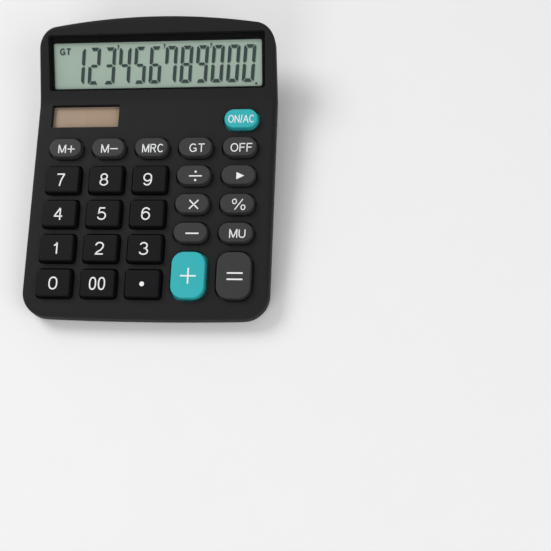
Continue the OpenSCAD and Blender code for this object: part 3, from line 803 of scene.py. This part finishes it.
def screw_mesh():
    mesh = Mesh()
    x, y = SCREW
    outer = [(circle(x, y, 0.95), 5.45), (circle(x, y, 0.95), 1.45), (circle(x, y, 2.5), 1.42),
             (circle(x, y, 2.5), 0.75), (circle(x, y, 2.3), 0.5), (circle(x, y, 1.95), 0.36)]
    loops = lofted(flat, outer) + [cross_loop(1.55, 0.3, 0.36), cross_loop(1.3, 0.25, 1.05)]
    return mesh.loft(loops)


ride(object_from("case_screw_head", screw_mesh(), SCREW_METAL), "casing", "screw_steel", "case_screw")

LABEL_AT, LABEL_SIZE = (-2.3, -34.7), (34.8, 18.7)


def label_mesh():
    x, y = LABEL_AT
    w, h = LABEL_SIZE
    return Mesh().loft([[(px, py, z) for px, py in rrect(x, y, w - s, h - s, 0.8)]
                        for z, s in [(BASE_Z + 0.05, 0.0), (BASE_Z - 0.04, 0.0), (BASE_Z - 0.06, 0.06)]])


def label_lines():
    x, y = LABEL_AT
    w, h = LABEL_SIZE
    z0, z1 = BASE_Z - 0.04, BASE_Z - 0.075
    mesh = Mesh()
    outer, inner = rrect(x, y, w - 1.6, h - 1.6, 0.6), rrect(x, y, w - 2.1, h - 2.1, 0.4)
    mesh.loft(lofted(flat, [(outer, z0), (outer, z1), (inner, z1), (inner, z0)]), ring=True)
    mesh.prism(rrect(x, y + h / 2 - 4.4, w - 2.0, 0.25, 0.05, 1), flat, z0, z1)
    return mesh


ride(object_from("label_plate", label_mesh(), LABEL), "casing", "rear_shell")
ride(object_from("label_frame_lines", label_lines(), LABEL_INK), "casing", "rear_shell")


# ---------- Stroke lettering ----------
def arc(cx, cy, rx, ry, a0, a1, n=14, power=1.0):
    pts = []
    for i in range(n + 1):
        a = math.radians(a0 + (a1 - a0) * i / n)
        c, s = math.cos(a), math.sin(a)
        pts.append((cx + rx * math.copysign(abs(c) ** power, c), cy + ry * math.copysign(abs(s) ** power, s)))
    return pts


# Centre lines in a unit box: width of the glyph over its height, then the strokes.
GLYPHS = {
    "0": (0.70, [arc(0.5, 0.5, 0.5, 0.5, 0, 360, 36, 0.86)]),
    "1": (0.42, [[(0.80, 0.0), (0.80, 1.0)],
                 [(0.05, 0.73), (0.30, 0.76), (0.55, 0.83), (0.72, 0.93), (0.80, 1.0)]]),
    "2": (0.69, [arc(0.5, 0.71, 0.5, 0.29, 172, -30, 18)
                 + [(0.70, 0.36), (0.30, 0.20), (0.08, 0.08), (0.0, 0.0)],
                 [(-0.06, 0.0), (1.02, 0.0)]]),
    "3": (0.70, [arc(0.48, 0.75, 0.44, 0.25, 165, -90, 18), arc(0.48, 0.26, 0.52, 0.26, 90, -168, 20)]),
    "4": (0.72, [[(0.74, -0.06), (0.74, 1.0)], [(0.72, 0.99), (0.02, 0.29)], [(-0.04, 0.27), (1.04, 0.27)]]),
    "5": (0.70, [[(0.92, 1.0), (0.14, 1.0)], [(0.20, 1.0), (0.08, 0.47)],
                 [(0.08, 0.49)] + arc(0.48, 0.315, 0.52, 0.315, 138, -162, 22)]),
    "6": (0.69, [arc(0.5, 0.32, 0.5, 0.32, 0, 360, 30), arc(0.54, 0.5, 0.54, 0.5, 38, 190, 20, 0.92)]),
    "7": (0.67, [[(-0.04, 1.0), (1.02, 1.0)],
                 [(0.99, 1.0), (0.72, 0.70), (0.50, 0.38), (0.38, 0.0), (0.37, -0.06)]]),
    "8": (0.68, [arc(0.5, 0.755, 0.42, 0.245, 0, 360, 28), arc(0.5, 0.265, 0.5, 0.265, 0, 360, 30)]),
    "9": (0.69, [arc(0.5, 0.68, 0.5, 0.32, 0, 360, 30), arc(0.46, 0.5, 0.54, 0.5, 218, 370, 20, 0.92)]),
    "M": (0.96, [[(0.0, -0.07), (0.0, 1.07)], [(1.0, -0.07), (1.0, 1.07)], [(0.02, 1.04), (0.5, -0.02)],
                 [(0.98, 1.04), (0.5, -0.02)]]),
    "R": (0.80, [[(0.0, -0.07), (0.0, 1.07)],
                 [(0.0, 1.0), (0.6, 1.0)] + arc(0.62, 0.755, 0.34, 0.245, 80, -80, 12)
                 + [(0.6, 0.51), (0.0, 0.51)],
                 [(0.56, 0.5), (1.0, -0.07)]]),
    "C": (0.86, [arc(0.5, 0.5, 0.5, 0.5, 42, 318, 30, 0.95)]),
    "G": (0.90, [arc(0.5, 0.5, 0.5, 0.5, 42, 330, 30, 0.95), [(0.97, 0.02), (0.97, 0.46)],
                 [(0.56, 0.43), (1.03, 0.43)]]),
    "T": (0.80, [[(0.5, -0.07), (0.5, 1.0)], [(-0.06, 1.0), (1.06, 1.0)]]),
    "O": (0.92, [arc(0.5, 0.5, 0.5, 0.5, 0, 360, 36, 0.95)]),
    "F": (0.70, [[(0.0, -0.07), (0.0, 1.07)], [(0.0, 1.0), (1.08, 1.0)], [(0.0, 0.52), (0.95, 0.52)]]),
    "N": (0.82, [[(0.0, -0.07), (0.0, 1.07)], [(1.0, -0.07), (1.0, 1.07)], [(0.0, 1.02), (1.0, -0.02)]]),
    "A": (0.86, [[(-0.06, -0.07), (0.5, 1.04)], [(1.06, -0.07), (0.5, 1.04)], [(0.18, 0.32), (0.82, 0.32)]]),
    "U": (0.80, [[(0.0, 1.0), (0.0, 0.36)] + arc(0.5, 0.33, 0.5, 0.33, 180, 360, 18)
                 + [(1.0, 0.36), (1.0, 1.0)]]),
    "/": (0.34, [[(0.0, -0.1), (1.0, 1.1)]]),
    "+": (0.98, [[(-0.03, 0.47), (1.03, 0.47)], [(0.5, 0.0), (0.5, 0.94)]]),
    "-": (0.98, [[(-0.05, 0.47), (1.05, 0.47)]]),
}


def ribbon(points, width):
    """Outline of a stroke of constant width along a centre line, with flat ends."""
    pts = [Vector(p) for p in points]
    closed = (pts[0] - pts[-1]).length < 1e-6
    if closed:
        pts = pts[:-1]
    left, right = [], []
    n = len(pts)
    for i, p in enumerate(pts):
        a = pts[i - 1] if (i > 0 or closed) else None
        b = pts[(i + 1) % n] if (i < n - 1 or closed) else None
        da = (p - a).normalized() if a is not None else (b - p).normalized()
        db = (b - p).normalized() if b is not None else da
        t = (da + db).normalized()
        normal = Vector((-t.y, t.x))
        k = width / 2 / max(0.5, normal.dot(Vector((-da.y, da.x))))
        left.append(p + normal * k)
        right.append(p - normal * k)
    return left, right, closed


INK_LIFT = 0.025


def add_stroke(mesh, points, width, place, level):
    left, right, closed = ribbon(points, width)
    loops = []
    for l, r in zip(left, right):
        loops.append([place(l.x, l.y, level - 0.02), place(l.x, l.y, level + INK_LIFT),
                      place(r.x, r.y, level + INK_LIFT), place(r.x, r.y, level - 0.02)])
    mesh.loft(loops, ring=closed)


def add_text(mesh, text, cx, cy, height, weight, place, level, squeeze=1.0, gap=0.17):
    widths = [GLYPHS[c][0] * squeeze * height for c in text]
    total = sum(widths) + gap * height * (len(text) - 1)
    x = cx - total / 2
    for c, w in zip(text, widths):
        for line in GLYPHS[c][1]:
            pts = [(x + weight / 2 + px * (w - weight), cy - height / 2 + weight / 2 + py * (height - weight))
                   for px, py in line]
            add_stroke(mesh, pts, weight, place, level)
        x += w + gap * height


def add_disc(mesh, cx, cy, r, place, level, steps=28):
    mesh.prism(circle(cx, cy, r, steps), place, level - 0.02, level + INK_LIFT)


def legend_mesh(k, level):
    mesh = Mesh()
    x, y, what = key_x(k[1]), k[2], k[5]
    if k[3] == NUMBER:
        x, y = x - 0.22 * (k[2] - NUM_ROW) / NUM_PITCH, y - 0.35
    elif what == "ON/AC":
        x, y = x + 0.25, y - 0.35
    elif k[3] == OVAL:
        x, y = x + (1.0 if k[1] > 2 else 0.9), y - 0.7
    else:
        x, y = x + (0.2 if what == "plus" else 0.7), y - 0.6
    args = (on_keypad, level)
    if what == ".":
        add_disc(mesh, x, y, 1.15, *args)
    elif what == "plus":
        long, half = 3.8, 0.36
        corner = [(half, half), (half, long), (-half, long), (-half, half), (-long, half), (-long, -half)]
        cross = corner + [(-px, -py) for px, py in corner]
        mesh.prism([(x + px, y + py) for px, py in cross], on_keypad, level - 0.02, level + INK_LIFT)
    elif what == "equals":
        for d in (-1.5, 1.5):
            add_stroke(mesh, [(x - 3.75, y + d), (x + 3.75, y + d)], 0.72, *args)
    elif what == "minus":
        add_stroke(mesh, [(x - 3.15, y), (x + 3.15, y)], 0.68, *args)
    elif what == "times":
        for s in (-1, 1):
            add_stroke(mesh, [(x - 2.2, y - 2.2 * s), (x + 2.2, y + 2.2 * s)], 0.62, *args)
    elif what == "divide":
        add_stroke(mesh, [(x - 3.15, y), (x + 3.15, y)], 0.62, *args)
        for d in (-2.1, 2.1):
            add_disc(mesh, x, y + d, 0.55, *args)
    elif what == "percent":
        add_stroke(mesh, [(x - 1.9, y - 2.6), (x + 1.9, y + 2.6)], 0.46, *args)
        for sx, sy in ((-1, 1), (1, -1)):
            add_stroke(mesh, arc(x + sx * 2.1, y + sy * 1.45, 0.95, 1.15, 0, 360, 24), 0.46, *args)
    elif what == "back":
        arrow = [(x + 2.0, y), (x - 1.8, y + 1.8), (x - 1.8, y - 1.8)]
        mesh.prism(arrow, on_keypad, level - 0.02, level + INK_LIFT)
    elif k[3] == NUMBER:
        add_text(mesh, what, x, y, 6.3, 0.66, *args, squeeze=0.8 if what == "00" else 1.0, gap=0.13)
    elif what == "ON/AC":
        add_text(mesh, what, x, y, 3.9, 0.42, *args, squeeze=0.76, gap=0.1)
    else:
        add_text(mesh, what, x, y, 4.3, 0.5, *args, squeeze=0.84 if what == "MRC" else 0.94, gap=0.14)
    return mesh


# ---------- Keys ----------
KEY_MATERIAL = {"number": NUMBER_KEY, "grey": GREY_KEY, "teal": TEAL_KEY}


def key_mesh(k):
    soft = 0.7 if k[3] == NUMBER else 0.6
    draft = 0.22
    top = KEY_H
    shapes = [(key_outline(k, 0.9), -2.8), (key_outline(k, 0.9), -2.0), (key_outline(k, 0.0), -1.98),
              (key_outline(k, 0.0), 0.2), (key_outline(k, -draft), top - soft)]
    for a in (18, 36, 54, 72, 90):
        r = math.radians(a)
        shapes.append((key_outline(k, -draft - soft * (1 - math.cos(r))), top - soft + soft * math.sin(r)))
    return Mesh().loft(lofted(on_keypad, shapes))


for k in KEYS:
    body = k[0] + "_body"
    slot = k[4] + "_key"
    ride(object_from(k[0] + "_cap", key_mesh(k), KEY_MATERIAL[k[4]], weighted=True), body, slot, k[0])
    ride(object_from(k[0] + "_legend", legend_mesh(k, KEY_H), INK), body, slot)


# ---------- Display ----------
def window_mesh():
    mid = RECESS_START + RECESS[1] / 2
    w, h = RECESS[0] - 0.3, RECESS[1] - 0.3
    shapes = [(rrect(0, mid, w, h, 1.3), -RECESS_DEPTH + 0.04), (rrect(0, mid, w, h, 1.3), -1.28),
              (rrect(0, mid, w - 0.16, h - 0.16, 1.2), -1.2)]
    return Mesh().loft(lofted(on_hood, shapes))


def border_mesh():
    """Black print on the back of the window, round the clear area."""
    mid, vmid = RECESS_START + RECESS[1] / 2, VIEW_START + VIEW[1] / 2
    outer, clear = (RECESS[0] - 0.5, RECESS[1] - 0.5), (VIEW[0] - 0.1, VIEW[1] - 0.1)
    lo, hi = -RECESS_DEPTH + 0.005, -RECESS_DEPTH + 0.03
    return Mesh().loft(lofted(on_hood, [
        (rrect(0, mid, *outer, 1.2), lo), (rrect(0, mid, *outer, 1.2), hi),
        (rrect(0, vmid, *clear, 1.0), hi), (rrect(0, vmid, *clear, 1.0), lo)]), ring=True)


ride(object_from("display_window_pane", window_mesh(), WINDOW), "casing", "window", "display_window")
ride(object_from("display_window_print", border_mesh(), BORDER), "casing", "window")

DIGITS = {"0": "abcdef", "1": "bc", "2": "abged", "3": "abgcd", "4": "fgbc", "5": "afgcd", "6": "afgedc",
          "7": "fabc", "8": "abcdefg", "9": "abcdfg"}


def digit_mesh(mesh, char, x, mid, level, lift):
    """Seven slanted segments; x is the centre of the right-hand pair."""
    wide, tall, t, gap = 4.35, 16.4, 1.72, 0.2
    lean = math.tan(math.radians(5))
    h = t / 2

    def put(pts):
        placed = [(x + px + (py - 0.0) * lean, mid + py) for px, py in pts]
        mesh.prism(placed, on_hood, level, level + lift)
    top, bottom = tall / 2, -tall / 2
    left = -wide
    for seg in DIGITS[char]:
        if seg == "a":
            put([(left + gap, top + h), (-gap, top + h), (-h - gap, top - h), (left + h + gap, top - h)])
        elif seg == "d":
            put([(left + h + gap, bottom + h), (-h - gap, bottom + h),
                 (-gap, bottom - h), (left + gap, bottom - h)])
        elif seg == "g":
            put([(left + gap + 0.2, 0), (left + h + gap, h * 0.85), (-h - gap, h * 0.85), (-gap - 0.2, 0),
                 (-h - gap, -h * 0.85), (left + h + gap, -h * 0.85)])
        else:
            cx, side = (0.0, 1) if seg in "bc" else (left, -1)
            s = 1 if seg in "bf" else -1
            put([(cx + side * h, s * (top - 0.1)), (cx + side * h * 0.3, s * (top + h * 0.65)),
                 (cx - side * h, s * (top - h - gap)), (cx - side * h, s * (h + gap)),
                 (cx, s * gap * 1.2), (cx + side * h, s * (gap * 1.2 + 0.35))])


def display_marks(dx, dy, level, lift):
    mesh = Mesh()
    mid = VIEW_START + VIEW[1] * 0.497 + dy
    for i, char in enumerate("123456789000"):
        digit_mesh(mesh, char, -37.75 + 7.82 * i + dx, mid, level, lift)
    for i in (3, 6, 9):
        x = -37.75 + 7.82 * i - 6.05 + dx + 0.75
        y = VIEW_START + VIEW[1] - 1.3 + dy
        mesh.prism([(x - 0.5, y), (x + 0.65, y), (x + 0.45, y - 0.9), (x - 0.25, y - 2.3), (x - 0.5, y - 2.2),
                    (x - 0.15, y - 1.0)], on_hood, level, level + lift)
    x, y = 49.5 + dx, VIEW_START + 1.45 + dy
    mesh.prism([(x - 0.5, y - 0.5), (x + 0.5, y - 0.5), (x + 0.55, y + 0.5), (x - 0.45, y + 0.5)],
               on_hood, level, level + lift)

    def on_glass(px, py, w):
        return on_hood(px + (py - 24.0) * 0.09, py, w)
    add_text(mesh, "GT", -46.9 + dx, VIEW_START + VIEW[1] - 4.0 + dy, 3.4, 0.7, on_glass, level + 0.02,
             squeeze=0.95, gap=0.1)
    return mesh


# The second, offset copy in a slightly darker tone is a painted shadow of the segments on the reflector
ride(object_from("lcd_digits", display_marks(0, 0, GLASS_TOP + 0.06, 0.03), SEGMENT), "casing", "lcd_glass")
ride(object_from("lcd_digit_shadows", display_marks(0.35, -0.45, GLASS_TOP + 0.005, 0.02), PAINTED_SEGMENT_SHADOW),
     "casing", "lcd_glass")


# ---------- Solar cell ----------
def solar_pane():
    shapes = [(rrect(*SOLAR_AT, 36.8, 13.0, 0.8), -2.62), (rrect(*SOLAR_AT, 36.8, 13.0, 0.8), -1.82)]
    return Mesh().loft(lofted(on_keypad, shapes))


def solar_strip():
    """Light conductor along the cell's edges."""
    x, y = SOLAR_AT
    return Mesh().loft(lofted(on_keypad, [
        (rrect(x, y, 35.2, 12.1, 0.2), -2.75), (rrect(x, y, 35.2, 12.1, 0.2), -2.72),
        (rrect(x, y, 33.0, 10.4, 0.2), -2.72), (rrect(x, y, 33.0, 10.4, 0.2), -2.75)]), ring=True)


def solar_border():
    """Dark print round the small window; its extra width along the rear and left edges is painted shade from
    the recess wall.
    """
    (x, y), (w, h) = SOLAR_AT, SOLAR
    outer, inner = rrect(x, y, w + 1.2, h + 1.2, 0.6), rrect(x + 0.1, y - 0.2, w - 0.3, h - 0.5, 0.4)
    shapes = [(outer, -1.81), (outer, -1.79), (inner, -1.79), (inner, -1.81)]
    return Mesh().loft(lofted(on_keypad, shapes), ring=True)


EDGE = material("solar_edge_print", srgb(196, 176, 158), 0.35, grain=0.6, bump=0.02, tint=0.06)
ride(object_from("solar_window_pane", solar_pane(), SOLAR_WINDOW), "casing", "window", "solar_window")
ride(object_from("solar_cell_edge", solar_strip(), EDGE), "casing", "solar")
# The wider rear and left bands of this print are painted shade from the recess wall
ride(object_from("solar_window_print", solar_border(), BORDER), "casing", "window")

# ---------- Finishes of the CAD nodes that stay ----------
FINISH = {
    "lcd_front_glass": LCD, "lcd_rear_glass": LCD_BACK, "lcd_reflector": REFLECT, "lcd_retainer": WHITE,
    "lcd_ribbon": FILM, "main_board": BOARD, "contact_pads": CARBON, "controller_chip": EPOXY,
    "capacitor": COMPONENT, "diode": DIODE, "solar_cell": CELL, "solar_wires": WIRE, "battery_wires": WIRE,
    "button_cell": STEEL, "positive_contact": CONTACT, "negative_contact": CONTACT, "keypad_mat": SILICONE,
    "screw_insert": BRASS,
}
for node, finish in FINISH.items():
    ob = frame["nodes"][node]
    for part in ([ob] if ob.type == "MESH" else []) + [c for c in ob.children_recursive if c.type == "MESH"]:
        for s in part.material_slots:
            s.material = finish

# ---------- Floor, lights and camera ----------
floor_mesh = Mesh()
floor_mesh.v = [(-9000, -9000, 0), (9000, -9000, 0), (9000, 9000, 0), (-9000, 9000, 0)]
floor_mesh.f = [(0, 1, 2, 3)]
floor = object_from("floor", floor_mesh, material("pale_floor", srgb(236, 236, 236), 0.7, grain=3.0,
                                                 bump=0.02, tint=0.01, specular=0.2))

world = bpy.data.worlds.new("studio")
bpy.context.scene.world = world
world.use_nodes = True
world.node_tree.nodes["Background"].inputs["Color"].default_value = (1.0, 1.0, 1.0, 1.0)
world.node_tree.nodes["Background"].inputs["Strength"].default_value = 0.42


def area(name, place, target, size, power):
    light = bpy.data.lights.new(name, "AREA")
    light.shape = "DISK"
    light.size = size
    light.energy = power
    ob = bpy.data.objects.new(name, light)
    bpy.context.scene.collection.objects.link(ob)
    ob.location = place
    ob.rotation_euler = (Vector(target) - Vector(place)).to_track_quat("-Z", "Y").to_euler()


area("key_light", (-0.75, 0.55, 0.95), (0, 0, 0.01), 0.7, 9.0)
area("fill_light", (0.9, -0.5, 0.8), (0, 0, 0.01), 0.9, 5.0)
area("front_light", (-0.35, -1.0, 0.75), (0, 0, 0.01), 0.8, 4.0)

camera_data = bpy.data.cameras.new("main_camera")
camera_data.sensor_width = 36.0
camera_data.lens = 65.33
camera_data.clip_start = 0.01
camera_data.clip_end = 20.0
camera = bpy.data.objects.new("main_camera", camera_data)
bpy.context.scene.collection.objects.link(camera)
camera_at = Vector((0.12488, -0.19481, 0.45060))
back = Vector((0.13325, -0.30645, 0.94252)).normalized()
right = Vector((0.99105, 0.04923, -0.12410)).normalized()
up = back.cross(right).normalized()
camera.matrix_world = Matrix.Translation(camera_at) @ Matrix((right, up, back)).transposed().to_4x4()
bpy.context.scene.camera = camera
bpy.context.scene.view_settings.view_transform = "Standard"
